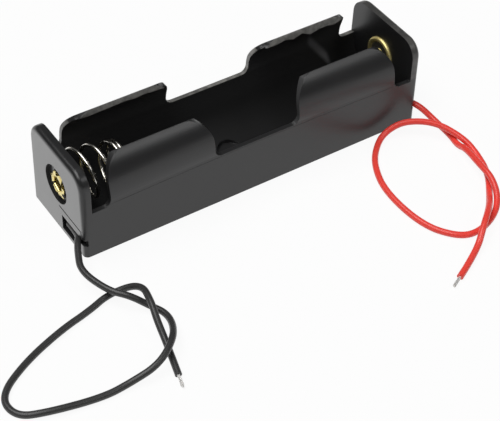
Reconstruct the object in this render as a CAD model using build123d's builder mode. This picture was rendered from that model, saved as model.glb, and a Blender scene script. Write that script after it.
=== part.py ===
"""Single cell holder with a snap-in trough, a coil spring contact, a riveted contact and two free leads.

Millimetres, +Z up, +X towards the positive end. The origin is the middle of the flat base.
"""
import math
import os
from build123d import *

os.makedirs("parts", exist_ok=True)

# Outer sizes of the moulded holder
holder_length = 77.0
base_half_width = 10.33
side_draft_rate = 0.02
end_wall_thickness = 2.01
end_wall_height = 19.26
end_wall_corner_radius = 3.62
upright_edge_radius = 1.0
rim_edge_radius = 0.3

# Cell trough
floor_thickness = 1.652
side_wall_thickness = 0.9
gate_recess_radius = 2.55
gate_recess_depth = 0.6

# Four ears that arch over the cell
ear_inner_reach = 9.61
end_notch_width = 6.07
ear_top_height = 19.7
ear_upright_height = 4.2
lip_start_rise = 0.75
lip_angle = 53.3
finger_gap_height = 11.2
finger_gap_radius = 1.6
notch_height = 10.5
notch_radius = 1.5

# Lead pocket in the foot of each end wall
pocket_near_side = 1.5
pocket_floor_height = 0.8
clip_underside_height = 4.2
clip_topside_height = 5.75
slit_width = 0.3
slit_start = 0.5
clip_end_margin = 1.43
exit_slot_margin = 1.58
exit_slot_width = 1.55
corner_notch_floor = 2.8
corner_notch_depth = 0.85
slit_depth = 1.0

# Hollow rivets
rivet_drop = 0.05
rivet_recess_radius = 4.05
rivet_recess_depth = 0.8
rivet_barrel_radius = 2.0
rivet_bore_radius = 1.5
rivet_head_radius = 3.86
rivet_roll_radius = 3.45
rivet_dish_radius = 2.9
rivet_dish_thickness = 0.3
rivet_head_rise = 0.6
rivet_tail_radius = 2.7
rivet_tail_rise = 0.4
rivet_split_width = 0.35
rivet_split_count = 6

# Conical contact spring, right-handed, wound away from the negative wall
spring_wire_diameter = 0.75
spring_length = 10.975
spring_base_radius = 5.6
spring_turn_marks = (-1, 0, 1, 2, 3, 4, 4.4)
spring_reach_shares = (0, 0, 0.25, 0.57, 0.91, 0.99, 1)
spring_taper_shares = (0.55, 1, 0.965, 0.885, 0.74, 0.69, 0.68)
spring_points_per_turn = 12

# Leads
lead_diameter = 1.3
lead_inset = 0.8
lead_height_in_pocket = 3.0
core_diameter = 0.6
core_groove_side = 2.1
core_groove_width = 0.7
core_groove_depth = 0.6
core_end_drop = 2.2
core_end_clearance = 0.1
core_bend_radius = 0.4
tip_diameter = 0.75
tip_length = 2.8

# Half length of the holder that the routes below are drawn for
route_half_length = 38.5

# Route points of the black lead, from its hidden start in the pocket to the end of its insulation
black_points = (
    (-37.7, -2.7, 3.0),
    (-37.7, -6.4, 3.0),
    (-39.4, -8.7, 3.5),
    (-40.7, -11.0, 3.4),
    (-42.2, -15.6, 3.3),
    (-40.3, -22.5, 3.4),
    (-37.6, -25.3, 3.2),
    (-34.8, -27.7, 1.1),
    (-33.2, -30.5, 1.1),
    (-34.0, -34.5, 1.6),
    (-36.2, -38.1, 3.7),
    (-40.7, -41.4, 2.9),
    (-45.7, -41.0, 1.1),
    (-51.3, -41.3, 0.65),
    (-60.9, -39.6, 0.65),
    (-66.5, -37.1, 0.65),
    (-66.8, -31.9, 0.65),
    (-59.6, -27.3, 0.65),
    (-51.0, -24.1, 0.65),
    (-44.2, -22.5, 0.65),
    (-39.5, -20.8, 0.65),
    (-34.6, -24.0, 3.7),
    (-35.7, -29.7, 4.5),
    (-36.3, -32.5, 3.0),
    (-36.7, -36.6, 0.65),
    (-38.6, -43.7, 0.65),
)

# Route points of the red lead
red_points = (
    (37.7, -2.7, 3.0),
    (37.7, -6.4, 3.0),
    (39.6, -9.2, 3.5),
    (41.3, -14.1, 0.65),
    (41.8, -17.6, 0.65),
    (39.7, -22.1, 0.65),
    (39.6, -25.1, 3.0),
    (38.6, -31.6, 3.1),
    (38.1, -35.2, 3.5),
    (37.3, -38.6, 1.5),
    (34.1, -41.7, 0.65),
    (28.4, -43.9, 0.65),
    (23.9, -42.8, 0.65),
    (20.0, -36.6, 0.65),
    (19.7, -25.5, 0.65),
    (22.6, -17.8, 0.65),
    (26.8, -13.2, 0.65),
    (30.3, -11.9, 1.8),
    (34.3, -12.9, 3.2),
    (38.2, -17.2, 4.2),
    (41.2, -21.7, 2.6),
    (42.4, -25.8, 0.9),
    (39.8, -33.6, 0.65),
    (35.1, -37.7, 0.65),
    (32.4, -41.5, 3.2),
    (28.3, -44.8, 3.3),
    (24.6, -47.7, 0.8),
    (17.7, -51.2, 0.65),
)

# Shares used by every rounded lead corner and every cutter
corner_share = 0.45
over_travel = 1.0

# Positions that follow from the sizes above
half_length = holder_length / 2
inner_wall_face = half_length - end_wall_thickness
ear_outer_reach = half_length - end_notch_width
ear_corner_radius = ear_top_height - notch_height - ear_upright_height
draft_to_lip = side_draft_rate * (floor_thickness + lip_start_rise)
cell_bore_radius = (base_half_width - side_wall_thickness - draft_to_lip) / (1 + side_draft_rate)
cell_axis_height = floor_thickness + cell_bore_radius
lip_start_height = cell_axis_height + lip_start_rise
half_width_at_lip = cell_bore_radius + side_wall_thickness
rivet_height = cell_axis_height - rivet_drop
core_end_height = rivet_height - core_end_drop
core_groove_top = core_end_height + core_end_clearance
lip_outer_radius = (ear_top_height - lip_start_height) / math.sin(math.radians(lip_angle))
lip_inner_radius = lip_outer_radius - side_wall_thickness
lip_centre_shift = lip_outer_radius - half_width_at_lip
wall_top_half_width = base_half_width - side_draft_rate * end_wall_height
clip_free_end = base_half_width - clip_end_margin
exit_slot_far_side = base_half_width - exit_slot_margin
exit_slot_near_side = exit_slot_far_side - exit_slot_width
pocket_depth = lead_inset + lead_diameter / 2
core_groove_foot = lead_height_in_pocket - core_groove_width / 2
recess_floor = half_length - rivet_recess_depth
insulation_start = black_points[0][1]
route_shift = half_length - route_half_length
black_route = [(along - route_shift, across, above) for along, across, above in black_points]
red_route = [(along + route_shift, across, above) for along, across, above in red_points]


def corner_radii(points):
    """Radius of the arc at each inner corner of a route, from the shorter of its two runs."""
    radii = []
    for before, corner, after in zip(points, points[1:], points[2:]):
        arriving = Vector(*corner) - Vector(*before)
        leaving = Vector(*after) - Vector(*corner)
        turn = math.radians(arriving.get_angle(leaving))
        reach = corner_share * min(arriving.length, leaving.length)
        radii.append(reach / math.tan(turn / 2))
    return radii


def between(marks, values, turn):
    """Value at a turn of the spring, in line between its two neighbouring marks."""
    for index in range(len(marks) - 1):
        if turn <= marks[index + 1]:
            share = (turn - marks[index]) / (marks[index + 1] - marks[index])
            return values[index] + share * (values[index + 1] - values[index])
    return values[-1]


def coil_point(step):
    """Point on the spring's centre line, counted in steps from its inner end."""
    turn = spring_turn_marks[0] + step / spring_points_per_turn
    reach = spring_wire_diameter / 2 + spring_length * between(spring_turn_marks, spring_reach_shares, turn)
    radius = spring_base_radius * between(spring_turn_marks, spring_taper_shares, turn)
    swing = 2 * math.pi * turn
    across = -radius * math.sin(swing)
    above = cell_axis_height + radius * math.cos(swing)
    return (reach - inner_wall_face, across, above)


def rivet_point(along, radius, side):
    """Point of a rivet's half-section in the side view, for the end wall on the given side."""
    return (side * along, rivet_height + radius)


def rolled_edge(head_seat, side):
    """Three points of the rolled edge of a rivet's head, from its rim over its crest to its dish."""
    return (
        rivet_point(head_seat, rivet_head_radius, side),
        rivet_point(head_seat - rivet_head_rise, rivet_roll_radius, side),
        rivet_point(head_seat - rivet_dish_thickness, rivet_dish_radius, side),
    )


def rivet_body(head_seat, side):
    """Rest of a rivet's half-section, from the dish through the bore and the tail back to the rim."""
    tail_top = recess_floor + rivet_tail_rise
    corners = (
        (head_seat - rivet_dish_thickness, rivet_dish_radius),
        (head_seat - rivet_dish_thickness, rivet_bore_radius),
        (tail_top, rivet_bore_radius),
        (tail_top, rivet_barrel_radius),
        (recess_floor + rivet_tail_rise / 2, rivet_tail_radius),
        (recess_floor, rivet_tail_radius),
        (recess_floor, rivet_barrel_radius),
        (head_seat, rivet_barrel_radius),
        (head_seat, rivet_head_radius),
    )
    return [rivet_point(along, radius, side) for along, radius in corners]


def core_route(side):
    """Bare conductor: out of the insulation, through the wall and up to the contact."""
    pocket_line = side * (half_length - lead_inset)
    groove_line = side * (inner_wall_face + core_diameter / 2)
    return (
        (pocket_line, insulation_start, lead_height_in_pocket),
        (pocket_line, -core_groove_side, lead_height_in_pocket),
        (groove_line, -core_groove_side, lead_height_in_pocket),
        (groove_line, -core_groove_side, core_end_height),
    )


# Holder body: one half is built, towards the positive end, and mirrored
with BuildPart() as holder_body:
    with BuildSketch(Plane.YZ) as trough_section:
        with BuildLine() as trough_outline:
            base = Line((-base_half_width, 0), (base_half_width, 0))
            right_side = Line(base @ 1, (half_width_at_lip, lip_start_height))
            right_lip = CenterArc((-lip_centre_shift, lip_start_height), lip_outer_radius, 0, lip_angle)
            right_inner = CenterArc((-lip_centre_shift, lip_start_height), lip_inner_radius, 0, lip_angle)
            right_edge = Line(right_lip @ 1, right_inner @ 1)
            right_wall = Line(right_inner @ 0, (cell_bore_radius, cell_axis_height))
            bore = CenterArc((0, cell_axis_height), cell_bore_radius, 180, 180)
            left_wall = Line(bore @ 0, (-cell_bore_radius, lip_start_height))
            left_inner = CenterArc((lip_centre_shift, lip_start_height), lip_inner_radius, 180, -lip_angle)
            left_lip = CenterArc((lip_centre_shift, lip_start_height), lip_outer_radius, 180, -lip_angle)
            left_edge = Line(left_inner @ 1, left_lip @ 1)
            left_side = Line(left_lip @ 0, base @ 0)
        make_face()
    extrude(amount=half_length)

    # Side view: finger gap, ear and end notch
    with BuildSketch(Plane.XZ) as side_view:
        with BuildLine() as side_outline:
            Polyline(
                (0, 0),
                (half_length, 0),
                (half_length, notch_height),
                (ear_outer_reach, notch_height),
                (ear_outer_reach, ear_top_height),
                (ear_inner_reach, ear_top_height),
                (ear_inner_reach, finger_gap_height),
                (0, finger_gap_height),
                close=True,
            )
        make_face()
        fillet(side_view.vertices().group_by(Axis.Y)[-1], ear_corner_radius)
        inner_foot = side_view.vertices().sort_by_distance((ear_inner_reach, finger_gap_height))[0]
        fillet(inner_foot, finger_gap_radius)
        outer_foot = side_view.vertices().sort_by_distance((ear_outer_reach, notch_height))[0]
        fillet(outer_foot, notch_radius)
    extrude(amount=base_half_width + over_travel, both=True, mode=Mode.INTERSECT)

    # End wall with leaning sides and rounded top corners
    with BuildSketch(Plane.YZ.offset(inner_wall_face)) as wall_section:
        with BuildLine() as wall_outline:
            Polyline(
                (-base_half_width, 0),
                (base_half_width, 0),
                (wall_top_half_width, end_wall_height),
                (-wall_top_half_width, end_wall_height),
                close=True,
            )
        make_face()
        fillet(wall_section.vertices().group_by(Axis.Y)[-1], end_wall_corner_radius)
    extrude(amount=end_wall_thickness)
    end_face = holder_body.faces().sort_by(Axis.X)[-1]
    end_rim = end_face.edges().filter_by(lambda edge: edge.center().Z > rim_edge_radius)
    fillet(end_rim, upright_edge_radius)

    # Round recess and bore for the hollow rivet
    with BuildSketch(Plane.YZ.offset(half_length - rivet_recess_depth)) as rivet_recess:
        with Locations((0, rivet_height)):
            Circle(rivet_recess_radius)
    extrude(amount=rivet_recess_depth, mode=Mode.SUBTRACT)
    with BuildSketch(Plane.YZ.offset(half_length - end_wall_thickness)) as rivet_hole:
        with Locations((0, rivet_height)):
            Circle(rivet_barrel_radius)
    extrude(amount=end_wall_thickness, mode=Mode.SUBTRACT)

    # Pocket for the lead, its exit slot and the notch in the upright edge
    with BuildSketch(Plane.YZ.offset(half_length - pocket_depth)) as lead_pocket:
        with BuildLine() as pocket_outline:
            Polyline(
                (-pocket_near_side, pocket_floor_height),
                (-exit_slot_near_side, pocket_floor_height),
                (-exit_slot_near_side, -over_travel),
                (-exit_slot_far_side, -over_travel),
                (-exit_slot_far_side, clip_underside_height),
                (-pocket_near_side, clip_underside_height),
                close=True,
            )
        make_face()
    extrude(amount=pocket_depth, mode=Mode.SUBTRACT)
    with BuildSketch(Plane.YZ.offset(half_length - corner_notch_depth)) as corner_notch:
        with BuildLine() as notch_outline:
            Polyline(
                (-exit_slot_near_side, corner_notch_floor),
                (-base_half_width - over_travel, corner_notch_floor),
                (-base_half_width - over_travel, clip_underside_height),
                (-exit_slot_near_side, clip_underside_height),
                close=True,
            )
        make_face()
    extrude(amount=corner_notch_depth, mode=Mode.SUBTRACT)

    # Slit that frees the clip over the lead
    with BuildSketch(Plane.YZ.offset(half_length - slit_depth)) as clip_slit:
        with BuildLine() as slit_outline:
            Polyline(
                (-slit_start, clip_topside_height),
                (-slit_start, clip_topside_height + slit_width),
                (-clip_free_end - slit_width, clip_topside_height + slit_width),
                (-clip_free_end - slit_width, clip_underside_height),
                (-clip_free_end, clip_underside_height),
                (-clip_free_end, clip_topside_height),
                close=True,
            )
        make_face()
    extrude(amount=slit_depth, mode=Mode.SUBTRACT)

    # Groove that takes the bare conductor up the inside of the wall to the contact
    with BuildSketch(Plane.YZ.offset(inner_wall_face)) as core_groove:
        with Locations((-core_groove_side, (core_groove_top + core_groove_foot) / 2)):
            Rectangle(core_groove_width, core_groove_top - core_groove_foot)
    extrude(amount=core_groove_depth, mode=Mode.SUBTRACT)

    mirror(about=Plane.YZ)

    # Shallow round gate recess in the middle of the floor
    with BuildSketch(Plane.XY.offset(cell_axis_height - cell_bore_radius - gate_recess_depth)) as gate_recess:
        Circle(gate_recess_radius)
    extrude(amount=gate_recess_depth + over_travel, mode=Mode.SUBTRACT)

holder_body.part.label = "holder_body"
export_step(holder_body.part, "parts/holder_body.step")

# Rivet at the negative end: its head holds the inner turn of the spring against the wall
with BuildPart() as negative_rivet:
    with BuildSketch(Plane.XZ) as negative_section:
        with BuildLine() as negative_outline:
            ThreePointArc(*rolled_edge(inner_wall_face - spring_wire_diameter, -1))
            Polyline(*rivet_body(inner_wall_face - spring_wire_diameter, -1))
        make_face()
    revolve(axis=Axis((0, 0, rivet_height), (1, 0, 0)))
    with BuildSketch(Plane.YZ.offset(-recess_floor - rivet_tail_rise)) as negative_splits:
        with Locations((0, rivet_height)):
            with PolarLocations((rivet_bore_radius + rivet_tail_radius) / 2, rivet_split_count):
                Rectangle(rivet_tail_radius - rivet_bore_radius, rivet_split_width)
    extrude(amount=rivet_tail_rise, mode=Mode.SUBTRACT)

negative_rivet.part.label = "negative_rivet"
export_step(negative_rivet.part, "parts/negative_rivet.step")

# Contact at the positive end: the rolled head of the rivet meets the cell
with BuildPart() as positive_contact:
    with BuildSketch(Plane.XZ) as positive_section:
        with BuildLine() as positive_outline:
            ThreePointArc(*rolled_edge(inner_wall_face, 1))
            Polyline(*rivet_body(inner_wall_face, 1))
        make_face()
    revolve(axis=Axis((0, 0, rivet_height), (1, 0, 0)))
    with BuildSketch(Plane.YZ.offset(recess_floor)) as positive_splits:
        with Locations((0, rivet_height)):
            with PolarLocations((rivet_bore_radius + rivet_tail_radius) / 2, rivet_split_count):
                Rectangle(rivet_tail_radius - rivet_bore_radius, rivet_split_width)
    extrude(amount=rivet_tail_rise, mode=Mode.SUBTRACT)

positive_contact.part.label = "positive_contact"
export_step(positive_contact.part, "parts/positive_contact.step")

# Conical spring: a flat inner turn under the rivet, four open turns and a closed end turn
spring_steps = round((spring_turn_marks[-1] - spring_turn_marks[0]) * spring_points_per_turn)
with BuildPart() as contact_spring:
    with BuildLine() as spring_path:
        Spline(*[coil_point(step) for step in range(spring_steps + 1)])
    with BuildSketch(Plane(origin=spring_path.line @ 0, z_dir=spring_path.line % 0)) as spring_wire:
        Circle(spring_wire_diameter / 2)
    sweep()

contact_spring.part.label = "contact_spring"
export_step(contact_spring.part, "parts/contact_spring.step")

# Insulation of the black lead
with BuildPart() as black_lead:
    with BuildLine() as black_path:
        FilletPolyline(*black_route, radius=corner_radii(black_route))
    with BuildSketch(Plane(origin=black_path.line @ 0, z_dir=black_path.line % 0)) as black_round:
        Circle(lead_diameter / 2)
    sweep()

black_lead.part.label = "black_lead"
export_step(black_lead.part, "parts/black_lead.step")

# Bare conductor of the black lead inside the wall
with BuildPart() as black_lead_core:
    with BuildLine() as black_core_path:
        FilletPolyline(*core_route(-1), radius=core_bend_radius)
    core_start = Plane(origin=black_core_path.line @ 0, z_dir=black_core_path.line % 0)
    with BuildSketch(core_start) as black_core_round:
        Circle(core_diameter / 2)
    sweep()

black_lead_core.part.label = "black_lead_core"
export_step(black_lead_core.part, "parts/black_lead_core.step")

# Tinned strands at the far end of the black lead
with BuildPart() as black_lead_tip:
    with BuildSketch(Plane(origin=black_path.line @ 1, z_dir=black_path.line % 1)) as black_tip_round:
        Circle(tip_diameter / 2)
    extrude(amount=tip_length)

black_lead_tip.part.label = "black_lead_tip"
export_step(black_lead_tip.part, "parts/black_lead_tip.step")

# Insulation of the red lead
with BuildPart() as red_lead:
    with BuildLine() as red_path:
        FilletPolyline(*red_route, radius=corner_radii(red_route))
    with BuildSketch(Plane(origin=red_path.line @ 0, z_dir=red_path.line % 0)) as red_round:
        Circle(lead_diameter / 2)
    sweep()

red_lead.part.label = "red_lead"
export_step(red_lead.part, "parts/red_lead.step")

# Bare conductor of the red lead inside the wall
with BuildPart() as red_lead_core:
    with BuildLine() as red_core_path:
        FilletPolyline(*core_route(1), radius=core_bend_radius)
    core_start = Plane(origin=red_core_path.line @ 0, z_dir=red_core_path.line % 0)
    with BuildSketch(core_start) as red_core_round:
        Circle(core_diameter / 2)
    sweep()

red_lead_core.part.label = "red_lead_core"
export_step(red_lead_core.part, "parts/red_lead_core.step")

# Tinned strands at the far end of the red lead
with BuildPart() as red_lead_tip:
    with BuildSketch(Plane(origin=red_path.line @ 1, z_dir=red_path.line % 1)) as red_tip_round:
        Circle(tip_diameter / 2)
    extrude(amount=tip_length)

red_lead_tip.part.label = "red_lead_tip"
export_step(red_lead_tip.part, "parts/red_lead_tip.step")

# What the bends and lengths come to
lead_section = math.pi * (lead_diameter / 2) ** 2
for name, lead, path, route in (
    ("black lead", black_lead, black_path, black_route),
    ("red lead", red_lead, red_path, red_route),
):
    route_length = sum(edge.length for edge in path.edges())
    print(name, "length", round(route_length, 1))
    filled_share = lead.part.volume / (lead_section * route_length)
    print(name, "volume against section by length", round(filled_share, 4))
    print(name, "corner radii", [round(radius, 1) for radius in corner_radii(route)])
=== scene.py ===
"""Dressed scene of the single cell holder: moulding, contact spring, hollow rivets and two thin leads.

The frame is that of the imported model: +X towards the positive end, +Z up, base on the floor. Blender works
in metres. The routes, the spring and the split rivet are given in millimetres and turned into metres last.
"""
import logging
import math
from dataclasses import dataclass, field
from enum import Enum

import bmesh
import bpy
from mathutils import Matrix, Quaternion, Vector, noise


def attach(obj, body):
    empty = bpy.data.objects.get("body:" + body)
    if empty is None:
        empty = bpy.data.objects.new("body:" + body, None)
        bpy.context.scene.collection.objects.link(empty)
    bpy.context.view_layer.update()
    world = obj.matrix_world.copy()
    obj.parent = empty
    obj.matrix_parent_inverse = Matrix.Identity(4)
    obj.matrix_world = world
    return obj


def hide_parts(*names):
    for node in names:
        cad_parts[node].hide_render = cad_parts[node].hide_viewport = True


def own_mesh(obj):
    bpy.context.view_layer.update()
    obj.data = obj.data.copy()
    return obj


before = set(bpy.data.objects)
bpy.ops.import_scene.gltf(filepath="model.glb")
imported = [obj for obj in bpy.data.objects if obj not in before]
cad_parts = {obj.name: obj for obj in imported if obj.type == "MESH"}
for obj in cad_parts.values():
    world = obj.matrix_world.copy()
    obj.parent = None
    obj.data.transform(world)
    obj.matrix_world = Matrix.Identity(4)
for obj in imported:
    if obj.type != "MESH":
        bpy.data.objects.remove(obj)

LOG = logging.getLogger("cell_holder")
MM = 0.001
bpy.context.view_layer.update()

# Heights in millimetres of the rivets' axis and of the trough's.
RIVET_AXIS = 10.8
TROUGH_AXIS = 10.85

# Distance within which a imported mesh's corners are one.
WELD = 0.001 * MM

# Numbers that the moulding's mesh carries for its finish: whether a face takes the lining, and its share of
# the painted highlight on the upper edge.
INSIDE = "inside"
RIM = "rim"

# Sockets of the Mix node: its share, its two colours and its colour result.
MIX_SHARE, MIX_FIRST, MIX_SECOND, MIX_RESULT = 0, 6, 7, 2

# Rays of the Bevel node, and cosines of the normal's turn where the edge mask starts and where it is full.
BEVEL_SAMPLES = 4
EDGE_START = 0.995
EDGE_FULL = 0.8

WHITE = (1.0, 1.0, 1.0)

Point = tuple[float, float, float]
Colour = tuple[float, float, float]
Pair = tuple[float, float]
Piece = bpy.types.Object
Mesh = bmesh.types.BMesh
Material = bpy.types.Material


def metres(point: Point) -> Vector:
    """A point given in millimetres, as a vector in metres."""
    return Vector(point) * MM


def direction(bearing: float, climb: float) -> Vector:
    """Unit vector at a bearing in radians, 0 for -Y and a right angle for +X, and a climb."""
    level = math.cos(climb)
    return Vector((math.sin(bearing) * level, -math.cos(bearing) * level, math.sin(climb)))


def object_of(name: str, data: bpy.types.ID) -> Piece:
    """Links a new object to the scene.

    Args:
        name: Name of the object.
        data: Its mesh, curve, lamp or camera.

    Returns:
        The object, at the origin.
    """
    made = bpy.data.objects.new(name, data)
    bpy.context.scene.collection.objects.link(made)
    return made


def piece_of(mesh: Mesh, name: str) -> Piece:
    """Turns a finished bmesh into an object at the origin.

    Args:
        mesh: The mesh, which is freed.
        name: Name of the piece.

    Returns:
        The new object.
    """
    data = bpy.data.meshes.new(name)
    mesh.to_mesh(data)
    mesh.free()
    return object_of(name, data)


def packed_copy(node: str) -> Mesh:
    """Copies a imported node's mesh and welds its loose triangles.

    Args:
        node: Name of the node.

    Returns:
        The copy.
    """
    mesh = bmesh.new()
    mesh.from_mesh(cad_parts[node].data)
    bmesh.ops.remove_doubles(mesh, verts=mesh.verts, dist=WELD)
    return mesh


def cut_through(mesh: Mesh, place: Point | Vector, facing: Point, clear: bool = False) -> None:
    """Cuts a whole mesh along a plane.

    Args:
        mesh: The mesh.
        place: A point of the plane.
        facing: The plane's normal.
        clear: Whether what lies beyond the plane goes.
    """
    everything = [*mesh.verts, *mesh.edges, *mesh.faces]
    bmesh.ops.bisect_plane(mesh, geom=everything, plane_co=place, plane_no=facing, clear_outer=clear)


@dataclass(frozen=True)
class RoundWire:
    """A round wire: radius in metres, order of its smooth line, steps to a control point, roundness."""

    radius: float
    order: int
    steps: int
    roundness: int

    def along(self, name: str, lines: list[list[Vector]]) -> Piece:
        """Makes one curve object that follows each of the lines.

        Args:
            name: Name of the object.
            lines: Control points of each line, in metres.

        Returns:
            The curve object.
        """
        data = bpy.data.curves.new(name, "CURVE")
        data.dimensions = "3D"
        for line in lines:
            spline = data.splines.new("NURBS")
            spline.points.add(len(line) - 1)
            for corner, place in zip(spline.points, line):
                corner.co = (*place, 1.0)
            spline.order_u = self.order
            spline.use_endpoint_u = True
        data.resolution_u = self.steps
        data.bevel_depth = self.radius
        data.bevel_resolution = self.roundness
        data.use_fill_caps = True
        return object_of(name, data)


class Value:
    """A number that varies over a surface: one output socket, with arithmetic that adds Math nodes."""

    def __init__(self, tree: "FinishTree", socket: bpy.types.NodeSocket | None) -> None:
        """Wraps a socket.

        Args:
            tree: The node tree that the socket belongs to.
            socket: The output socket, or None for a node that has none.
        """
        self.tree = tree
        self.socket = socket

    def _with(self, operation: str, first: "Value | float", second: "Value | float") -> "Value":
        """Adds one Math node.

        Args:
            operation: Name of the Math node's operation.
            first: Left operand.
            second: Right operand.

        Returns:
            The node's output.
        """
        return self.tree.node("ShaderNodeMath", {"operation": operation}, {0: first, 1: second})

    def __add__(self, other: "Value | float") -> "Value":
        """Sum of this value and another."""
        return self._with("ADD", self, other)

    def __radd__(self, other: float) -> "Value":
        """Sum with a plain number on the left."""
        return self._with("ADD", other, self)

    def __sub__(self, other: "Value | float") -> "Value":
        """Difference of this value and another."""
        return self._with("SUBTRACT", self, other)

    def __rsub__(self, other: float) -> "Value":
        """Difference with a plain number on the left."""
        return self._with("SUBTRACT", other, self)

    def __mul__(self, other: "Value | float") -> "Value":
        """Product of this value and another."""
        return self._with("MULTIPLY", self, other)

    def __rmul__(self, other: float) -> "Value":
        """Product with a plain number on the left."""
        return self._with("MULTIPLY", other, self)

    def __pow__(self, other: "Value | float") -> "Value":
        """This value raised to a power."""
        return self._with("POWER", self, other)

    def __abs__(self) -> "Value":
        """Size of this value without its sign."""
        return self._with("ABSOLUTE", self, 0.0)

    def clipped(self) -> "Value":
        """This value held between 0 and 1."""
        return self.tree.node("ShaderNodeClamp", {}, {"Value": self})


@dataclass(frozen=True)
class Cloud:
    """A noise pattern: cells to the metre, octaves of finer cloud, and the scale of each axis."""

    scale: float
    detail: float
    stretch: Point = (1.0, 1.0, 1.0)


class FinishTree:
    """The node tree of one material."""

    def __init__(self, name: str) -> None:
        """Makes an empty material.

        Args:
            name: Name of the material.
        """
        self.material = bpy.data.materials.new(name)
        self.material.use_nodes = True
        self.nodes = self.material.node_tree.nodes
        self.links = self.material.node_tree.links
        self.nodes.clear()

    def node(self, kind: str, settings: dict, inputs: dict, output: int | str = 0) -> Value:
        """Adds a node, sets it, then fills its sockets.

        Args:
            kind: The node's type name.
            settings: Properties of the node.
            inputs: Value, number, vector or colour of each input, by name or number.
            output: Which output to hand back.

        Returns:
            The chosen output.
        """
        made = self.nodes.new(kind)
        for key, value in settings.items():
            setattr(made, key, value)
        for key, value in inputs.items():
            if isinstance(value, Value):
                self.links.new(value.socket, made.inputs[key])
            elif made.inputs[key].type == "RGBA":
                made.inputs[key].default_value = (*value, 1.0)
            else:
                made.inputs[key].default_value = value
        return Value(self, made.outputs[output] if made.outputs else None)

    def spot(self) -> Value:
        """Object coordinates in metres."""
        return self.node("ShaderNodeTexCoord", {}, {}, "Object")

    def axis(self, name: str) -> Value:
        """One object coordinate in metres, by the axis name X, Y or Z."""
        return self.node("ShaderNodeSeparateXYZ", {}, {"Vector": self.spot()}, name)

    def off_rivet_axis(self) -> Value:
        """Distance in metres from the rivets' common axis."""
        return (self.axis("Y") ** 2 + (self.axis("Z") - RIVET_AXIS * MM) ** 2) ** 0.5

    def attribute(self, name: str) -> Value:
        """Number that the mesh carries under a name."""
        return self.node("ShaderNodeAttribute", {"attribute_name": name}, {}, "Fac")

    def noise(self, cloud: Cloud) -> Value:
        """Cloudy value on object coordinates.

        Args:
            cloud: The pattern's settings.

        Returns:
            The noise, between 0 and 1.
        """
        placed = self.node("ShaderNodeMapping", {}, {"Vector": self.spot(), "Scale": cloud.stretch})
        inputs = {"Vector": placed, "Scale": cloud.scale, "Detail": cloud.detail}
        return self.node("ShaderNodeTexNoise", {}, inputs)

    def ramp(self, value: Value, low: float, high: float) -> Value:
        """Value that climbs smoothly from 0 at low to 1 at high, which may be the lower."""
        inputs = {"Value": value, "From Min": low, "From Max": high}
        return self.node("ShaderNodeMapRange", {"interpolation_type": "SMOOTHSTEP"}, inputs)

    def mix(self, share: Value, first: Value | Colour, second: Value | Colour) -> Value:
        """Colour between two.

        Args:
            share: Share of the second colour, from 0 to 1.
            first: Colour at 0.
            second: Colour at 1.

        Returns:
            The mixed colour.
        """
        settings = {"data_type": "RGBA", "clamp_factor": True}
        inputs = {MIX_SHARE: share, MIX_FIRST: first, MIX_SECOND: second}
        return self.node("ShaderNodeMix", settings, inputs, MIX_RESULT)

    def rounded(self, radius: float) -> Value:
        """Normal of the surface as if its edges were rounded by a radius in metres."""
        return self.node("ShaderNodeBevel", {"samples": BEVEL_SAMPLES}, {"Radius": radius})

    def edges(self, radius: float) -> Value:
        """Mask of the outer and inner edges.

        Args:
            radius: Half width of the mask in metres.

        Returns:
            1 on an edge and 0 on open surface.
        """
        flat = self.node("ShaderNodeNewGeometry", {}, {}, "Normal")
        sides = {0: flat, 1: self.rounded(radius)}
        along = self.node("ShaderNodeVectorMath", {"operation": "DOT_PRODUCT"}, sides, "Value")
        return self.ramp(along, EDGE_START, EDGE_FULL)

    def bump(self, height: Value, distance: float, strength: float, radius: float = 0.0) -> Value:
        """Normal that follows a height.

        Args:
            height: Height as a share of the distance.
            distance: Depth of the relief in metres.
            strength: Weight of the relief.
            radius: Radius in metres of the edges' rounded look, or 0.

        Returns:
            The bumped normal.
        """
        inputs = {"Height": height, "Distance": distance, "Strength": strength}
        if radius:
            inputs["Normal"] = self.rounded(radius)
        return self.node("ShaderNodeBump", {}, inputs)

    def principled(self, inputs: dict) -> Value:
        """Principled shader with the given sockets filled."""
        return self.node("ShaderNodeBsdfPrincipled", {}, inputs)

    def blend(self, share: Value, first: Value, second: Value) -> Value:
        """Shader between two, by a share from 0 to 1."""
        return self.node("ShaderNodeMixShader", {}, {0: share, 1: first, 2: second})

    def close(self, shader: Value) -> Material:
        """Links a shader to the output and hands back the finished material."""
        self.node("ShaderNodeOutputMaterial", {}, {"Surface": shader})
        return self.material


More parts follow.
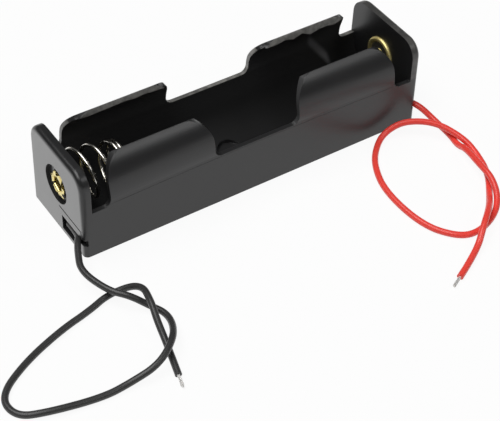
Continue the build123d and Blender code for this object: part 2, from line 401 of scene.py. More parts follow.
@dataclass(frozen=True)
class TroughLining:
    """Matter inner side of the moulding, painted with shade that makes it darkest at its floor and paler
    higher up, and with a painted reflection, a soft pale streak, on the rear wall.
    """

    # Painted shade: the colour climbs from near black at deep_height to a paler grey at upper_height, which
    # is painted glare.
    colour: Colour = (0.008, 0.008, 0.0082)
    upper_glare_colour: Colour = (0.042, 0.042, 0.0425)
    deep_height: float = 5.0 * MM
    upper_height: float = 13.0 * MM
    roughness: float = 0.62
    cloud_dulling: float = 0.08
    reflection: float = 0.2
    # Painted reflection: a soft pale streak on the rear wall's inner side.
    painted_streak_colour: Colour = (0.15, 0.15, 0.155)
    painted_streak_from: float = 23.6 * MM
    painted_streak_to: float = 30.2 * MM
    painted_streak_fade: float = 1.5 * MM
    painted_streak_top: float = 14.4 * MM
    painted_streak_slope: float = 1.25
    painted_streak_width: Pair = (2.0 * MM, 0.2 * MM)
    painted_streak_side: Pair = (0.0, 2.0 * MM)

    def painted_streak(self, tree: FinishTree) -> Value:
        """Mask of the painted reflection, a pale band that slopes down towards the positive end.

        Args:
            tree: The moulding's node tree.

        Returns:
            1 in the middle of the painted reflection and 0 off it.
        """
        across = tree.axis("X")
        fade = tree.ramp(across, self.painted_streak_from, self.painted_streak_from + self.painted_streak_fade)
        fade = fade * tree.ramp(across, self.painted_streak_to, self.painted_streak_to - self.painted_streak_fade)
        middle = self.painted_streak_top - self.painted_streak_slope * (across - self.painted_streak_from)
        band = fade * tree.ramp(abs(tree.axis("Z") - middle), *self.painted_streak_width)
        return band * tree.ramp(tree.axis("Y"), *self.painted_streak_side)

    def shader(self, tree: FinishTree, height: Value, cloud: Value, normal: Value) -> Value:
        """Adds the lining's shader.

        Args:
            tree: The moulding's node tree.
            height: Height above the table in metres.
            cloud: The moulding's clouds.
            normal: The moulding's bumped normal.

        Returns:
            The shader.
        """
        # Mask of the painted reflection on the rear wall.
        painted_streak = self.painted_streak(tree)
        # Painted shade, darkest at the trough's floor and paler higher up.
        depth = tree.ramp(height, self.deep_height, self.upper_height)
        trough = tree.mix(depth, self.colour, self.upper_glare_colour)
        inputs = {
            "Base Color": tree.mix(painted_streak, trough, self.painted_streak_colour),
            "Roughness": self.roughness + self.cloud_dulling * cloud,
            "Specular IOR Level": self.reflection,
            "Normal": normal,
        }
        return tree.principled(inputs)


@dataclass(frozen=True)
class MouldedBlack:
    """Semi-gloss black plastic of the moulding, with the lining of its trough."""

    name: str = "moulded_black"
    colour: Colour = (0.014, 0.014, 0.0145)
    roughness: float = 0.26
    reflection: float = 0.55
    lining: TroughLining = TroughLining()

    # Patterns, and what they add to the roughness and to the relief.
    cloud: Cloud = Cloud(90.0, 2.0)
    grain: Cloud = Cloud(5200.0, 3.0)
    flow: Cloud = Cloud(260.0, 3.0, (0.15, 1.0, 1.0))
    cloud_dulling: float = 0.08
    flow_dulling: float = 0.05
    edge_dulling: float = 0.05
    grain_relief: float = 0.03
    flow_relief: float = 0.02
    relief: float = 0.07 * MM
    relief_strength: float = 1.0
    rounding: float = 0.18 * MM
    unevenness: float = 0.25 * MM

    # Wear of the edges and clouds, and the painted highlight: a paler, mottled colour on the upper edge.
    worn_colour: Colour = (0.024, 0.024, 0.025)
    edge_reach: float = 0.25 * MM
    edge_wear: float = 0.5
    cloud_wear: float = 0.08
    rim_highlight_colour: Colour = (0.24, 0.235, 0.22)
    mottle: Cloud = Cloud(700.0, 3.0)
    mottle_span: Pair = (0.3, 0.7)
    rim_highlight_ground: float = 0.45
    rim_highlight_mottle: float = 0.55

    # Witness line along the sides, which ends short of the end walls.
    witness_height: float = 11.0 * MM
    witness_width: float = 0.12 * MM
    witness_from: float = 26.0 * MM
    witness_to: float = 36.2 * MM

    # Polish of the end faces and of the floors of the rivets' recesses.
    coat: float = 0.9
    coat_roughness: float = 0.3
    end_face: float = 38.5 * MM
    end_fade: Pair = (0.2 * MM, 0.02 * MM)
    recess_reach: float = 4.2 * MM
    recess_fade: float = 0.2 * MM
    recess_floor: float = 37.7 * MM
    floor_fade: Pair = (0.08 * MM, 0.03 * MM)

    def polish(self, tree: FinishTree, along: Value) -> Value:
        """Mask of the end faces and of the floors of the rivets' recesses.

        Args:
            tree: The moulding's node tree.
            along: Distance from the middle of the length in metres.

        Returns:
            1 on them and 0 elsewhere.
        """
        recess = self.recess_reach
        in_recess = tree.ramp(tree.off_rivet_axis(), recess + self.recess_fade, recess)
        on_floor = tree.ramp(abs(along - self.recess_floor), *self.floor_fade)
        fade_from, fade_to = self.end_fade
        return tree.ramp(along, self.end_face - fade_from, self.end_face - fade_to) + in_recess * on_floor

    def make(self) -> Material:
        """Makes the plastic, with its grain, wear, witness line, painted rim highlight, polish and trough.

        Returns:
            The material.
        """
        tree = FinishTree(self.name)
        cloud = tree.noise(self.cloud)
        grain = tree.noise(self.grain)
        flow = tree.noise(self.flow)
        edge = tree.edges(self.edge_reach)
        height = tree.axis("Z") + self.unevenness * cloud
        along = abs(tree.axis("X"))
        inside = tree.attribute(INSIDE)
        rim = tree.attribute(RIM)
        half_line = self.witness_width / 2
        step = tree.ramp(height, self.witness_height + half_line, self.witness_height - half_line)
        witness = step * tree.ramp(along, self.witness_to, self.witness_from) * (1.0 - inside)
        polish = self.polish(tree, along)
        mottle = tree.ramp(tree.noise(self.mottle), *self.mottle_span)
        # Painted highlight: the upper edge's colour is paler, in mottled patches.
        base_with_highlight = tree.mix(rim * (self.rim_highlight_ground + self.rim_highlight_mottle * mottle), self.colour, self.rim_highlight_colour)
        relief = self.grain_relief * grain + self.flow_relief * flow + witness
        normal = tree.bump(relief, self.relief, self.relief_strength, self.rounding)
        wear = self.edge_wear * edge + self.cloud_wear * cloud
        dulling = self.roughness + self.cloud_dulling * cloud + self.flow_dulling * flow
        inputs = {
            "Base Color": tree.mix(wear, base_with_highlight, self.worn_colour),
            "Roughness": dulling + self.edge_dulling * edge,
            "Specular IOR Level": self.reflection,
            "Coat Weight": self.coat * polish,
            "Coat Roughness": self.coat_roughness,
            "Normal": normal,
        }
        lining = self.lining.shader(tree, height, cloud, normal)
        return tree.close(tree.blend(inside, tree.principled(inputs), lining))


@dataclass(frozen=True)
class Insulation:
    """Smooth coloured insulation of a thin lead."""

    name: str
    colour: Colour
    deep_colour: Colour
    roughness: float
    cloud: Cloud = Cloud(160.0, 2.0)
    grain: Cloud = Cloud(3800.0, 2.0)
    cloud_dulling: float = 0.12
    grain_dulling: float = 0.06
    cloud_relief: float = 0.5
    grain_relief: float = 0.5
    relief: float = 0.004 * MM
    relief_strength: float = 0.6
    reflection: float = 0.5

    def make(self) -> Material:
        """Makes the insulation, slightly clouded, with a very fine grain.

        Returns:
            The material.
        """
        tree = FinishTree(self.name)
        cloud = tree.noise(self.cloud)
        grain = tree.noise(self.grain)
        relief = self.grain_relief * grain + self.cloud_relief * cloud
        inputs = {
            "Base Color": tree.mix(cloud, self.colour, self.deep_colour),
            "Roughness": self.roughness + self.cloud_dulling * cloud + self.grain_dulling * grain,
            "Specular IOR Level": self.reflection,
            "Normal": tree.bump(relief, self.relief, self.relief_strength),
        }
        return tree.close(tree.principled(inputs))


@dataclass(frozen=True)
class BareMetal:
    """Plated, brass or tinned metal. Within a radius, up to hollow_to, a rivet's hollow is rougher and
    darkened by painted shade.
    """

    name: str
    colour: Colour
    tarnish: Colour
    roughness: float
    cloud: Cloud = Cloud(700.0, 3.0)
    marks: Cloud = Cloud(6000.0, 2.0)
    stain_span: Pair = (0.48, 0.75)
    stain_dulling: float = 0.12
    marks_dulling: float = 0.06
    relief: float = 0.0015 * MM
    relief_strength: float = 0.6
    edge_radius: float = 0.0
    metallic: float = 1.0
    hollow: float = 0.0
    hollow_fade: Pair = (0.15 * MM, 0.25 * MM)
    hollow_to: float = 37.3 * MM
    hollow_end_fade: float = 0.4 * MM
    hollow_shade_colour: Colour = (0.10, 0.095, 0.075)
    hollow_dulling: float = 0.25

    def make(self) -> Material:
        """Makes the metal, with tarnish, fine marks, soft edges and a rivet's hollow, rougher and darkened
        by painted shade.

        Returns:
            The material.
        """
        tree = FinishTree(self.name)
        cloud = tree.noise(self.cloud)
        marks = tree.noise(self.marks)
        stain = tree.ramp(cloud, *self.stain_span)
        finish = tree.mix(stain, self.colour, self.tarnish)
        rough = self.roughness + self.stain_dulling * stain + self.marks_dulling * marks
        # Painted shade: the hollow's colour is darkened, and its surface is rougher.
        if self.hollow:
            outer, inner = self.hollow_fade
            hollow_shade = tree.ramp(tree.off_rivet_axis(), self.hollow + outer, self.hollow - inner)
            hollow_shade = hollow_shade * tree.ramp(tree.axis("X"), self.hollow_to, self.hollow_to - self.hollow_end_fade)
            finish = tree.mix(hollow_shade, finish, self.hollow_shade_colour)
            rough = rough + self.hollow_dulling * hollow_shade
        inputs = {
            "Base Color": finish,
            "Metallic": self.metallic,
            "Roughness": rough,
            "Normal": tree.bump(marks, self.relief, self.relief_strength, self.edge_radius),
        }
        return tree.close(tree.principled(inputs))


@dataclass(frozen=True)
class PaleFloor:
    """Matt pale floor that reads as white to the camera and keeps the object's shadow."""

    name: str = "pale_floor"
    colour: Colour = (0.9, 0.9, 0.9)
    cloud: Cloud = Cloud(30.0, 2.0)
    roughness: float = 0.85
    cloud_dulling: float = 0.1
    reflection: float = 0.1
    lift: float = 0.92

    def make(self) -> Material:
        """Makes the floor, mostly plain white to camera, mirror and glass rays only.

        Returns:
            The material.
        """
        tree = FinishTree(self.name)
        seen, mirrored, through = (
            tree.node("ShaderNodeLightPath", {}, {}, f"Is {ray} Ray")
            for ray in ("Camera", "Glossy", "Transmission")
        )
        lift = (seen + mirrored + through).clipped() * self.lift
        inputs = {
            "Base Color": self.colour,
            "Roughness": self.roughness + self.cloud_dulling * tree.noise(self.cloud),
            "Specular IOR Level": self.reflection,
        }
        lit = tree.principled(inputs)
        white = tree.node("ShaderNodeEmission", {}, {"Color": WHITE, "Strength": 1.0})
        return tree.close(tree.blend(lift, lit, white))


@dataclass
class Studio:
    """Camera, floor and surroundings."""

    azimuth: float = math.radians(-34.776)
    elevation: float = math.radians(43.979)
    roll: float = math.radians(2.217)
    distance: float = 278.589 * MM
    target: Vector = field(default_factory=lambda: metres((-10.068, -22.28, 8.0)))
    focal_pixels: float = 1503.04
    image_width: float = 500.0
    sensor_width: float = 36.0
    clip: Pair = (0.01, 20.0)
    floor_radius: float = 6.0
    floor_corners: int = 96
    world_level: float = 0.10

    def camera(self) -> None:
        """Sets the camera up at the photograph's viewing angle."""
        back = direction(self.azimuth, self.elevation)
        data = bpy.data.cameras.new("camera")
        data.sensor_width = self.sensor_width
        data.lens = self.sensor_width * self.focal_pixels / self.image_width
        data.clip_start, data.clip_end = self.clip
        camera = object_of("camera", data)
        camera.rotation_mode = "QUATERNION"
        roll = Quaternion((0.0, 0.0, 1.0), self.roll)
        camera.rotation_quaternion = (-back).to_track_quat("-Z", "Y") @ roll
        camera.location = self.target + back * self.distance
        bpy.context.scene.camera = camera

    def floor(self) -> None:
        """Lays the wide round floor."""
        mesh = bmesh.new()
        bmesh.ops.create_circle(mesh, cap_ends=True, segments=self.floor_corners, radius=self.floor_radius)
        floor = piece_of(mesh, "floor")
        floor.data.materials.append(PaleFloor().make())

    def world(self) -> None:
        """Gives the scene even grey surroundings and plain colours."""
        world = bpy.data.worlds.new("surroundings")
        world.use_nodes = True
        background = world.node_tree.nodes["Background"].inputs
        background["Color"].default_value = (*WHITE, 1.0)
        background["Strength"].default_value = self.world_level
        bpy.context.scene.world = world
        bpy.context.scene.view_settings.view_transform = "Standard"


@dataclass(frozen=True)
class SoftLamp:
    """Rectangular lamp that points at the holder from afar.

    The bearing and the climb are in degrees, size and distance in metres and the power in watts.
    """

    name: str
    bearing: float
    climb: float
    size: Pair
    power: float
    distance: float = 2.5

    def build(self) -> None:
        """Hangs the lamp."""
        data = bpy.data.lights.new(self.name, "AREA")
        data.shape = "RECTANGLE"
        data.size, data.size_y = self.size
        data.energy = self.power
        lamp = object_of(self.name, data)
        outward = direction(math.radians(self.bearing), math.radians(self.climb))
        lamp.location = outward * self.distance
        lamp.rotation_mode = "QUATERNION"
        lamp.rotation_quaternion = (-outward).to_track_quat("-Z", "Y")


@dataclass
class MouldedHolder:
    """The black moulding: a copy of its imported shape, whose long sides draw in a little."""

    # The draw: its depth, its end along the holder, and where it starts and is full across and upwards.
    draw_in: float = 0.6 * MM
    still_from: float = 36.4 * MM
    still_floor: float = 3.0 * MM
    full_side: float = 8.2 * MM
    full_height: float = 11.5 * MM
    ear_top: float = 19.7 * MM

    # Rows of cuts that let the sides bend.
    rows: int = 36
    levels: tuple[float, ...] = (1.0 * MM, 8.0 * MM, 11.0 * MM, 11.4 * MM)

    # The trough's section: the lips arch round a higher axis than its floor does.
    axis_height: float = TROUGH_AXIS * MM
    lip_centre: float = 11.6 * MM
    inner_reach: float = 9.65 * MM

    # Limits of a face's normal, by which faces and creases are told apart.
    level_normal: float = 0.9999
    crease: float = math.radians(32.0)
    cut_lean: float = 0.02
    side_lean: float = 0.1
    rim_lean: float = 0.35
    end_lean: float = 0.9
    left_facing: float = -0.5
    inward_facing: float = 0.3

    # The painted highlight, a paler colour on the upper edge.
    rim_from: float = 10.4 * MM
    wall_highlight_share: float = 0.3
    left_highlight_share: float = 0.75

    # The ragged flash under the rear lips.
    flash: float = 2.4 * MM
    flash_pitch: float = 5.0 * MM
    flash_row: float = 3.1
    flash_from: float = 18.7 * MM
    flash_depth: float = 0.08 * MM
    lip_inner_radius: float = 9.2 * MM
    left_flash_share: float = 0.4

    def side_share(self, across: float, height: float) -> float:
        """Tells how much of the draw a point takes: all high in a side wall, none at base or top.

        Args:
            across: Distance from the middle of the width, in metres.
            height: Height of the point in metres.

        Returns:
            The share, from 0 to 1.
        """
        share = (abs(across) - self.still_floor) / (self.full_side - self.still_floor)
        rise = min(height / self.full_height, (self.ear_top - height) / (self.ear_top - self.full_height))
        return min(1.0, max(0.0, share)) * rise

    def off_axis(self, place: Vector) -> Vector:
        """Way from the axis that the trough bends round, straight out to a point."""
        axis = self.lip_centre if place.z > self.lip_centre else self.axis_height
        return Vector((0.0, place.y, place.z - axis))

    def takes_dark_lining(self, face: bmesh.types.BMFace) -> bool:
        """Tells whether a face lines the trough, or is the right front ear's left end face, which takes the
        lining's darker finish as painted shade.

        Args:
            face: The face.

        Returns:
            True if it is either.
        """
        centre = face.calc_center_median()
        in_right_front = centre.y < 0.0 and 0.0 < centre.x < self.still_from
        # Painted shade: the right front ear's left end face takes the darker lining.
        if in_right_front and abs(face.normal.y) < self.cut_lean and face.normal.x < self.left_facing:
            return centre.z > self.full_height
        inward = -self.off_axis(centre)
        facing = face.normal.dot(inward.normalized())
        return inward.length < self.inner_reach and facing > self.inward_facing

    def on_inner_lip(self, place: Vector) -> bool:
        """Tells whether a point is on the lower edge of a rear lip's end, where flash shows.

        Args:
            place: The point.

        Returns:
            True if it is.
        """
        reach = math.hypot(place.y, place.z - self.lip_centre)
        on_edge = abs(reach - self.lip_inner_radius) < self.flash_depth
        return place.y > 0.0 and place.z > self.flash_from and on_edge

    def is_sharp(self, edge: bmesh.types.BMEdge) -> bool:
        """Tells whether an edge is a crease, as the ears' rounded corners are where they cut the lips.

        Args:
            edge: The edge.

        Returns:
            True if it is.
        """
        if len(edge.link_faces) != 2 or edge.calc_face_angle() > self.crease:
            return True
        cut, side = sorted(abs(face.normal.y) for face in edge.link_faces)
        middle = (edge.verts[0].co + edge.verts[1].co) / 2
        in_ears = abs(middle.x) < self.still_from and middle.z > self.rim_from
        return in_ears and cut < self.cut_lean and side > self.side_lean

    def rim_highlight_share(self, face: bmesh.types.BMFace) -> float:
        """Tells how much a face takes of the painted highlight, a paler colour on the upper edge of the rear
        or the right end wall.

        Args:
            face: The face.

        Returns:
            The share, from 0 to 1.
        """
        centre = face.calc_center_median()
        if centre.z <= self.rim_from:
            return 0.0
        if centre.x > self.still_from and abs(face.normal.x) < self.end_lean:
            return self.wall_highlight_share
        on_edge = abs(face.normal.dot(self.off_axis(centre).normalized())) < self.rim_lean
        if not on_edge or abs(centre.x) > self.still_from or centre.y < 0.0:
            return 0.0
        return 1.0 if centre.x > 0.0 else self.left_highlight_share

    def cut_rows(self, mesh: Mesh) -> None:
        """Cuts the moulding into rows, across and level, so that its sides can bend.

        Args:
            mesh: The moulding's mesh.
        """
        for row in range(1, self.rows):
            along = self.still_from * (2.0 * row / self.rows - 1.0)
            cut_through(mesh, (along, 0.0, 0.0), (1.0, 0.0, 0.0))
        for level in self.levels:
            cut_through(mesh, (0.0, 0.0, level), (0.0, 0.0, 1.0))

    def mark(self, mesh: Mesh) -> None:
        """Marks the creases, the faces that take the lining and those of the painted highlight on the upper
        edge.

        Args:
            mesh: The moulding's mesh.
        """
        mesh.normal_update()
        for edge in mesh.edges:
            edge.smooth = not self.is_sharp(edge)
        inside = mesh.faces.layers.float.new(INSIDE)
        rim = mesh.faces.layers.float.new(RIM)
        for face in mesh.faces:
            face[inside] = float(self.takes_dark_lining(face))
            face[rim] = self.rim_highlight_share(face)

    def bend(self, mesh: Mesh) -> None:
        """Adds the flash and draws the long sides in.

        Args:
            mesh: The moulding's mesh.
        """
        for corner in mesh.verts:
            if self.on_inner_lip(corner.co):
                ragged = abs(noise.noise(Vector((corner.co.x / self.flash_pitch, 0.0, self.flash_row))))
                corner.co.z -= self.flash * ragged * (1.0 if corner.co.x > 0.0 else self.left_flash_share)
            depth = 1.0 - min(1.0, abs(corner.co.x) / self.still_from) ** 2
            share = self.side_share(corner.co.y, corner.co.z) * depth
            corner.co.y -= math.copysign(self.draw_in * share, corner.co.y)

    def build(self) -> Piece:
        """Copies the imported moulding, cuts it into rows, marks it and bends it.

        Returns:
            The moulding.
        """
        mesh = packed_copy("holder_body")
        self.cut_rows(mesh)
        self.mark(mesh)
        self.bend(mesh)
        moulding = piece_of(mesh, "moulding")
        for face in moulding.data.polygons:
            face.use_smooth = max(abs(face.normal.x), abs(face.normal.z)) < self.level_normal
        moulding.data.materials.append(MouldedBlack().make())
        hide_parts("holder_body")
        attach(moulding, "holder")
        return moulding


@dataclass(frozen=True)
class Petal:
    """Bearing in degrees round the axis, and reach beyond the roll and lean of the tip in millimetres."""

    bearing: float
    reach: float
    skew: float


@dataclass
class SplitRivet:
    """Hollow rivet at the negative end, whose split tail is folded out in uneven pointed petals."""

    axis_height: float = RIVET_AXIS
    cut_at: float = 37.72
    bore: float = 1.55
    start: float = 37.3
    roll: float = 0.36
    roll_centre: float = 38.02
    roll_angle: float = math.radians(112.0)
    root_half_width: float = 0.84
    tip_half_width: float = 0.3
    narrow_from: float = 0.6
    sag: float = 0.12
    set_in: float = 0.06
    thickness: float = 0.2
    sheet_rows: tuple[int, int] = (12, 4)
    crease: float = math.radians(35.0)
    petals: tuple[Petal, ...] = (
        Petal(8.0, 0.85, 0.00),
        Petal(62.0, 0.65, 0.10),
        Petal(119.0, 0.95, -0.06),
        Petal(186.0, 0.50, 0.12),
        Petal(240.0, 1.05, 0.03),
        Petal(298.0, 0.45, -0.10),
    )

    def fold_point(self, path: float, reach: float) -> Pair:
        """Finds a point on a petal's middle line.

        Args:
            path: Share of the way from the bore to the petal's tip.
            reach: Length in millimetres of the straight part beyond the roll.

        Returns:
            Distance from the axis, and distance from the middle of the holder, in millimetres.
        """
        rise = self.roll_centre - self.start
        turn_length = self.roll * self.roll_angle
        way = path * (rise + turn_length + reach)
        if way < rise:
            return self.bore, self.start + way
        angle = min(self.roll_angle, (way - rise) / self.roll)
        beyond = max(0.0, way - rise - turn_length)
        radius = self.bore + self.roll * (1.0 - math.cos(angle)) + beyond * math.sin(self.roll_angle)
        depth = self.roll_centre + self.roll * math.sin(angle) + beyond * math.cos(self.roll_angle)
        return radius, depth

    def fold(self, mesh: Mesh, petal: Petal) -> None:
        """Adds one petal, folded from a sheet that is one unit square.

        Args:
            mesh: The mesh that takes the petal.
            petal: Its place and size.
        """
        rows, columns = self.sheet_rows
        made = bmesh.ops.create_grid(mesh, x_segments=rows, y_segments=columns, size=0.5)
        turn = math.radians(petal.bearing)
        outward = Vector((0.0, math.cos(turn), math.sin(turn)))
        across = Vector((0.0, -math.sin(turn), math.cos(turn)))
        for corner in made["verts"]:
            path, side = corner.co.x + 0.5, corner.co.y * 2.0
            radius, depth = self.fold_point(path, petal.reach)
            narrow = max(0.0, (path - self.narrow_from) / (1.0 - self.narrow_from))
            half = self.root_half_width + (self.tip_half_width - self.root_half_width) * narrow
            aside = side * half + petal.skew * narrow
            sag = self.sag * (1.0 - side * side) * narrow
            along = Vector((-depth - sag + self.set_in, 0.0, self.axis_height))
            corner.co = (outward * radius + across * aside + along) * MM
        faces = list(dict.fromkeys(face for corner in made["verts"] for face in corner.link_faces))
        bmesh.ops.solidify(mesh, geom=faces, thickness=self.thickness * MM)

    def build(self) -> Piece:
        """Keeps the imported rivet's head and barrel and folds a new tail onto them.

        Returns:
            The rivet.
        """
        mesh = packed_copy("negative_rivet")
        cut_through(mesh, metres((-self.cut_at, 0.0, 0.0)), (-1.0, 0.0, 0.0), clear=True)
        for petal in self.petals:
            self.fold(mesh, petal)
        bmesh.ops.recalc_face_normals(mesh, faces=mesh.faces)
        # Solidify gives its faces in a new order each run, so their corners' numbers order them.
        mesh.verts.index_update()
        ranked = sorted(mesh.faces, key=lambda face: sorted(corner.index for corner in face.verts))
        for rank, face in enumerate(ranked):
            face.index = rank
        mesh.faces.sort()
        rivet = piece_of(mesh, "split_rivet")
        rivet.data.shade_smooth()
        rivet.data.set_sharp_from_angle(angle=self.crease)
        rivet.data.materials.append(BRASS.make())
        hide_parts("negative_rivet")
        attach(rivet, "holder")
        return rivet


@dataclass(frozen=True)
class PackedPieces:
    """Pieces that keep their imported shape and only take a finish."""

    nodes: tuple[str, ...]
    finish: BareMetal

    def dress(self) -> list[Piece]:
        """Gives the pieces their finish, through their objects' own material slots.

        Returns:
            The pieces.
        """
        material = self.finish.make()
        pieces = [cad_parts[node] for node in self.nodes]
        for made in pieces:
            if not made.material_slots:
                made.data.materials.append(material)
            for slot in made.material_slots:
                slot.link = "OBJECT"
                slot.material = material
        return pieces


class LeadColour(Enum):
    """The two leads."""

    BLACK = "black"
    RED = "red"


@dataclass(frozen=True)
class StrippedEnd:
    """Seven tinned strands, six round one, that leave the insulation's end and open slightly."""

    length: float = 2.8 * MM
    strand_radius: float = 0.10 * MM
    outer_strands: int = 6
    points: int = 5
    lay: float = 0.9
    ring_reach: float = 1.9
    ring_opening: float = 0.5
    unevenness: float = 0.06
    uneven_every: int = 3
    hidden: float = 0.3 * MM

    def strand(self, number: int, end: Vector, along: Vector) -> list[Vector]:
        """Finds one strand's control points.

        Args:
            number: Number of the strand, from 0, with the middle one last.
            end: End of the insulation.
            along: Direction of the lead there.

        Returns:
            The points, in metres.
        """
        across = along.cross(Vector((0.0, 0.0, 1.0))).normalized()
        above = across.cross(along).normalized()
        turn = number * math.tau / self.outer_strands
        ring = 0.0 if number == self.outer_strands else 1.0
        line = []
        for step in range(self.points):
            share = step / (self.points - 1)
            lay = turn + self.lay * share
            spread = ring * self.strand_radius * (self.ring_reach + self.ring_opening * share)
            shortened = 1.0 - self.unevenness * (number % self.uneven_every)
            reach = self.length * share * shortened - self.hidden * (1 - share)
            aside = across * spread * math.cos(lay)
            line.append(end + along * reach + aside + above * spread * math.sin(lay))
        return line

    def build(self, name: str, end: Vector, along: Vector) -> Piece:
        """Makes the strands.

        Args:
            name: Name of the piece.
            end: End of the insulation.
            along: Direction of the lead there.

        Returns:
            The strands, as one curve object.
        """
        wire = RoundWire(self.strand_radius, order=3, steps=6, roundness=3)
        lines = [self.strand(number, end, along) for number in range(self.outer_strands + 1)]
        strands = wire.along(name, lines)
        strands.data.materials.append(TINNED.make())
        return strands


@dataclass
class FreeLead:
    """One thin lead: smooth insulation along its route, and tinned strands at its end."""

    colour: LeadColour
    route: tuple[Point, ...]
    length: float
    finish: Insulation
    diameter: float = 1.3 * MM
    stripped_end: StrippedEnd = StrippedEnd()

    def insulation(self) -> Piece:
        """Makes the insulation, a curve along the route.

        Returns:
            The insulation.
        """
        wire = RoundWire(self.diameter / 2, order=3, steps=14, roundness=6)
        lead = wire.along(f"{self.colour.value}_insulation", [[metres(place) for place in self.route]])
        lead.data.materials.append(self.finish.make())
        return lead

    def centre_line(self, lead: Piece) -> list[Vector]:
        """Reads the points that the finished curve passes through, with its section taken off.

        Args:
            lead: The insulation.

        Returns:
            The points, from the holder outwards.
        """
        depth, lead.data.bevel_depth = lead.data.bevel_depth, 0.0
        bpy.context.view_layer.update()
        line = bpy.data.meshes.new_from_object(lead)
        points = [corner.co.copy() for corner in line.vertices]
        bpy.data.meshes.remove(line)
        lead.data.bevel_depth = depth
        bpy.context.view_layer.update()
        start = metres(self.route[0])
        if (points[0] - start).length > (points[-1] - start).length:
            points.reverse()
        return points

    def build(self) -> list[Piece]:
        """Makes the lead's pieces, hides their imported nodes and hangs them on the holder.

        Returns:
            The pieces.
        """
        lead = self.insulation()
        line = self.centre_line(lead)
        name = self.colour.value
        tip = self.stripped_end.build(f"{name}_strands", line[-1], (line[-1] - line[-2]).normalized())
        lead_row = (lead, f"{name}_lead", f"{name}_insulation")
        tip_row = (tip, f"{name}_lead_tip", "tinned_strands")
        for made, node, slot in (lead_row, tip_row):
            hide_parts(node)
            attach(made, "holder")
        return [lead, tip]


@dataclass
class ContactSpring:
    """Conical contact spring, wound right-handed away from the negative wall.

    The shares of its length and of its base radius are those that it has at each of the turn marks.
    """

    wall: float = -36.49
    axis_height: float = TROUGH_AXIS
    wire: float = 0.75
    length: float = 10.975
    base_radius: float = 5.6
    turn_marks: tuple[float, ...] = (-1, 0, 1, 2, 3, 4, 4.4)
    reach_shares: tuple[float, ...] = (0, 0, 0.25, 0.57, 0.91, 0.99, 1)
    radius_shares: tuple[float, ...] = (0.55, 1, 0.965, 0.885, 0.74, 0.69, 0.68)
    points_per_turn: int = 12
    weld: float = 0.002 * MM
    travel: float = 6.5

    def between(self, values: tuple[float, ...], turn: float) -> float:
        """Finds the value at a turn, in line between its two neighbouring marks.

        Args:
            values: The value at each mark.
            turn: Number of the turn, from the end of the flat inner one.

        Returns:
            The value.
        """
        marks = self.turn_marks
        for index in range(len(marks) - 1):
            if turn <= marks[index + 1]:
                share = (turn - marks[index]) / (marks[index + 1] - marks[index])
                return values[index] + share * (values[index + 1] - values[index])
        return values[-1]

    def coil_point(self, step: int) -> Vector:
        """Finds a point on the wire's centre line.

        Args:
            step: Number of the point, counted from the wire's inner end.

        Returns:
            The point, in metres.
        """
        turn = self.turn_marks[0] + step / self.points_per_turn
        reach = self.wire / 2 + self.length * self.between(self.reach_shares, turn)
        radius = self.base_radius * self.between(self.radius_shares, turn)
        swing = math.tau * turn
        height = self.axis_height + radius * math.cos(swing)
        return metres((self.wall + reach, -radius * math.sin(swing), height))

    def coil(self) -> Mesh:
        """Winds the wire as a curve and turns it into a mesh.

        Returns:
            The mesh.
        """
        wire = RoundWire(self.wire / 2 * MM, order=4, steps=6, roundness=6)
        steps = round((self.turn_marks[-1] - self.turn_marks[0]) * self.points_per_turn)
        line = wire.along("spring_line", [[self.coil_point(step) for step in range(steps + 1)]])
        bpy.context.view_layer.update()
        mesh = bmesh.new()
        mesh.from_mesh(bpy.data.meshes.new_from_object(line))
        bpy.data.objects.remove(line)
        bmesh.ops.remove_doubles(mesh, verts=mesh.verts, dist=self.weld)
        bmesh.ops.recalc_face_normals(mesh, faces=mesh.faces)
        return mesh

    def build(self) -> Piece:
        """Makes the spring and lets it flatten with its joint.

        Returns:
            The spring.
        """
        spring = piece_of(self.coil(), "spring_wire")
        for face in spring.data.polygons:
            face.use_smooth = True
        spring.data.materials.append(NICKEL.make())
        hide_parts("contact_spring")
        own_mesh(spring)
        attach(spring, "spring")
        return spring


# Control points of the leads in millimetres, from inside the end wall's pocket to the insulation's end.
BLACK_ROUTE = (
    (-37.7, -2.7, 2.5), (-37.7, -6.4, 2.8), (-39.2, -8.8, 3.5), (-40.4, -11.1, 3.4),
    (-42.2, -15.5, 3.3), (-40.2, -22.3, 3.2), (-37.6, -25.2, 3.2), (-34.7, -27.9, 1.2),
    (-33.3, -30.4, 1.1), (-33.7, -33.8, 1.6), (-36.3, -38.2, 3.3), (-41.1, -41.5, 2.8),
    (-46.5, -41.1, 1.0), (-52.0, -41.2, 0.65), (-61.6, -39.5, 1.2), (-66.5, -37.1, 0.65),
    (-66.8, -31.9, 0.65), (-59.7, -27.3, 0.65), (-50.9, -24.1, 0.8), (-44.5, -22.6, 0.65),
    (-39.5, -20.9, 0.8), (-34.5, -24.0, 3.7), (-35.7, -29.8, 4.5), (-36.4, -32.8, 3.1),
    (-36.8, -37.1, 0.65), (-38.6, -43.7, 0.65),
)
RED_ROUTE = (
    (37.7, -2.7, 2.5), (37.7, -6.4, 2.8), (39.5, -9.9, 3.2), (41.1, -14.2, 1.0),
    (41.3, -18.9, 0.65), (40.6, -22.3, 0.65), (40.0, -25.2, 2.4), (38.7, -31.2, 3.1),
    (38.3, -35.0, 3.2), (37.2, -38.7, 1.6), (34.0, -41.8, 0.65), (28.2, -43.9, 0.65),
    (24.1, -42.7, 0.65), (20.2, -36.8, 0.65), (19.7, -25.5, 0.65), (22.6, -17.8, 0.65),
    (26.9, -13.2, 0.65), (30.0, -12.1, 1.9), (34.1, -12.8, 3.2), (39.1, -16.5, 3.3),
    (42.0, -21.9, 1.8), (42.4, -25.7, 0.65), (40.6, -31.8, 0.65), (36.1, -37.6, 0.9),
    (32.0, -41.8, 3.2), (28.1, -44.9, 3.2), (24.7, -47.6, 0.65), (17.7, -51.2, 0.65),
)

# Lengths of the insulation along those routes, in metres.
BLACK_LENGTH = 0.1325
RED_LENGTH = 0.1465

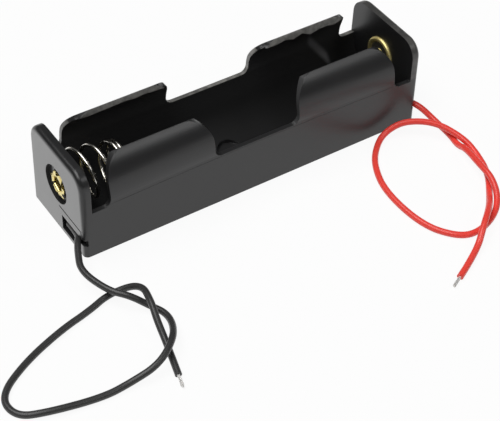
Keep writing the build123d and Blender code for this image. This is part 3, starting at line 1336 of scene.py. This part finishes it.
NICKEL = BareMetal("nickel_wire", colour=(0.74, 0.72, 0.67), tarnish=(0.60, 0.56, 0.49), roughness=0.16)
BRASS = BareMetal(
    "rivet_brass_finish",
    colour=(0.88, 0.76, 0.34),
    tarnish=(0.62, 0.47, 0.15),
    roughness=0.2,
    cloud=Cloud(1100.0, 3.0),
    edge_radius=0.04 * MM,
)
HOLLOW_BRASS = BareMetal(
    "contact_brass_finish",
    colour=(0.92, 0.79, 0.35),
    tarnish=(0.72, 0.56, 0.20),
    roughness=0.48,
    cloud=Cloud(900.0, 3.0),
    hollow=2.85 * MM,
    edge_radius=0.04 * MM,
)
TINNED = BareMetal(
    "tinned_finish", colour=(0.90, 0.89, 0.87), tarnish=(0.78, 0.76, 0.73), roughness=0.35, metallic=0.55
)
BLACK_PVC = Insulation(
    "black_insulation_finish", colour=(0.03, 0.03, 0.03), deep_colour=(0.042, 0.042, 0.041), roughness=0.28
)
RED_PVC = Insulation(
    "red_insulation_finish", colour=(0.96, 0.08, 0.06), deep_colour=(0.89, 0.058, 0.043), roughness=0.22
)

LAMPS = (
    SoftLamp("overhead_lamp", bearing=-108.0, climb=71.0, size=(2.6, 1.5), power=54.0),
    SoftLamp("front_lamp", bearing=34.0, climb=46.0, size=(1.0, 0.75), power=8.0),
)


def main() -> None:
    """Builds the scene in order and reports each piece."""
    logging.basicConfig(level=logging.INFO, format="%(name)s: %(message)s")
    studio = Studio()
    studio.camera()
    leads = (
        FreeLead(LeadColour.BLACK, BLACK_ROUTE, BLACK_LENGTH, BLACK_PVC),
        FreeLead(LeadColour.RED, RED_ROUTE, RED_LENGTH, RED_PVC),
    )
    for lead in leads:
        for made in lead.build():
            LOG.info("%s follows its route", made.name)
    studio.floor()
    studio.world()
    for lamp in LAMPS:
        lamp.build()
    LOG.info("%s is drawn in", MouldedHolder().build().name)
    LOG.info("%s has its petals", SplitRivet().build().name)
    packed = (
        PackedPieces(("positive_contact",), HOLLOW_BRASS),
        PackedPieces(("black_lead_core", "red_lead_core"), TINNED),
    )
    for pieces in packed:
        for made in pieces.dress():
            LOG.info("%s has its finish", made.name)
    LOG.info("%s flattens with its joint", ContactSpring().build().name)


if __name__ == "__main__":
    main()
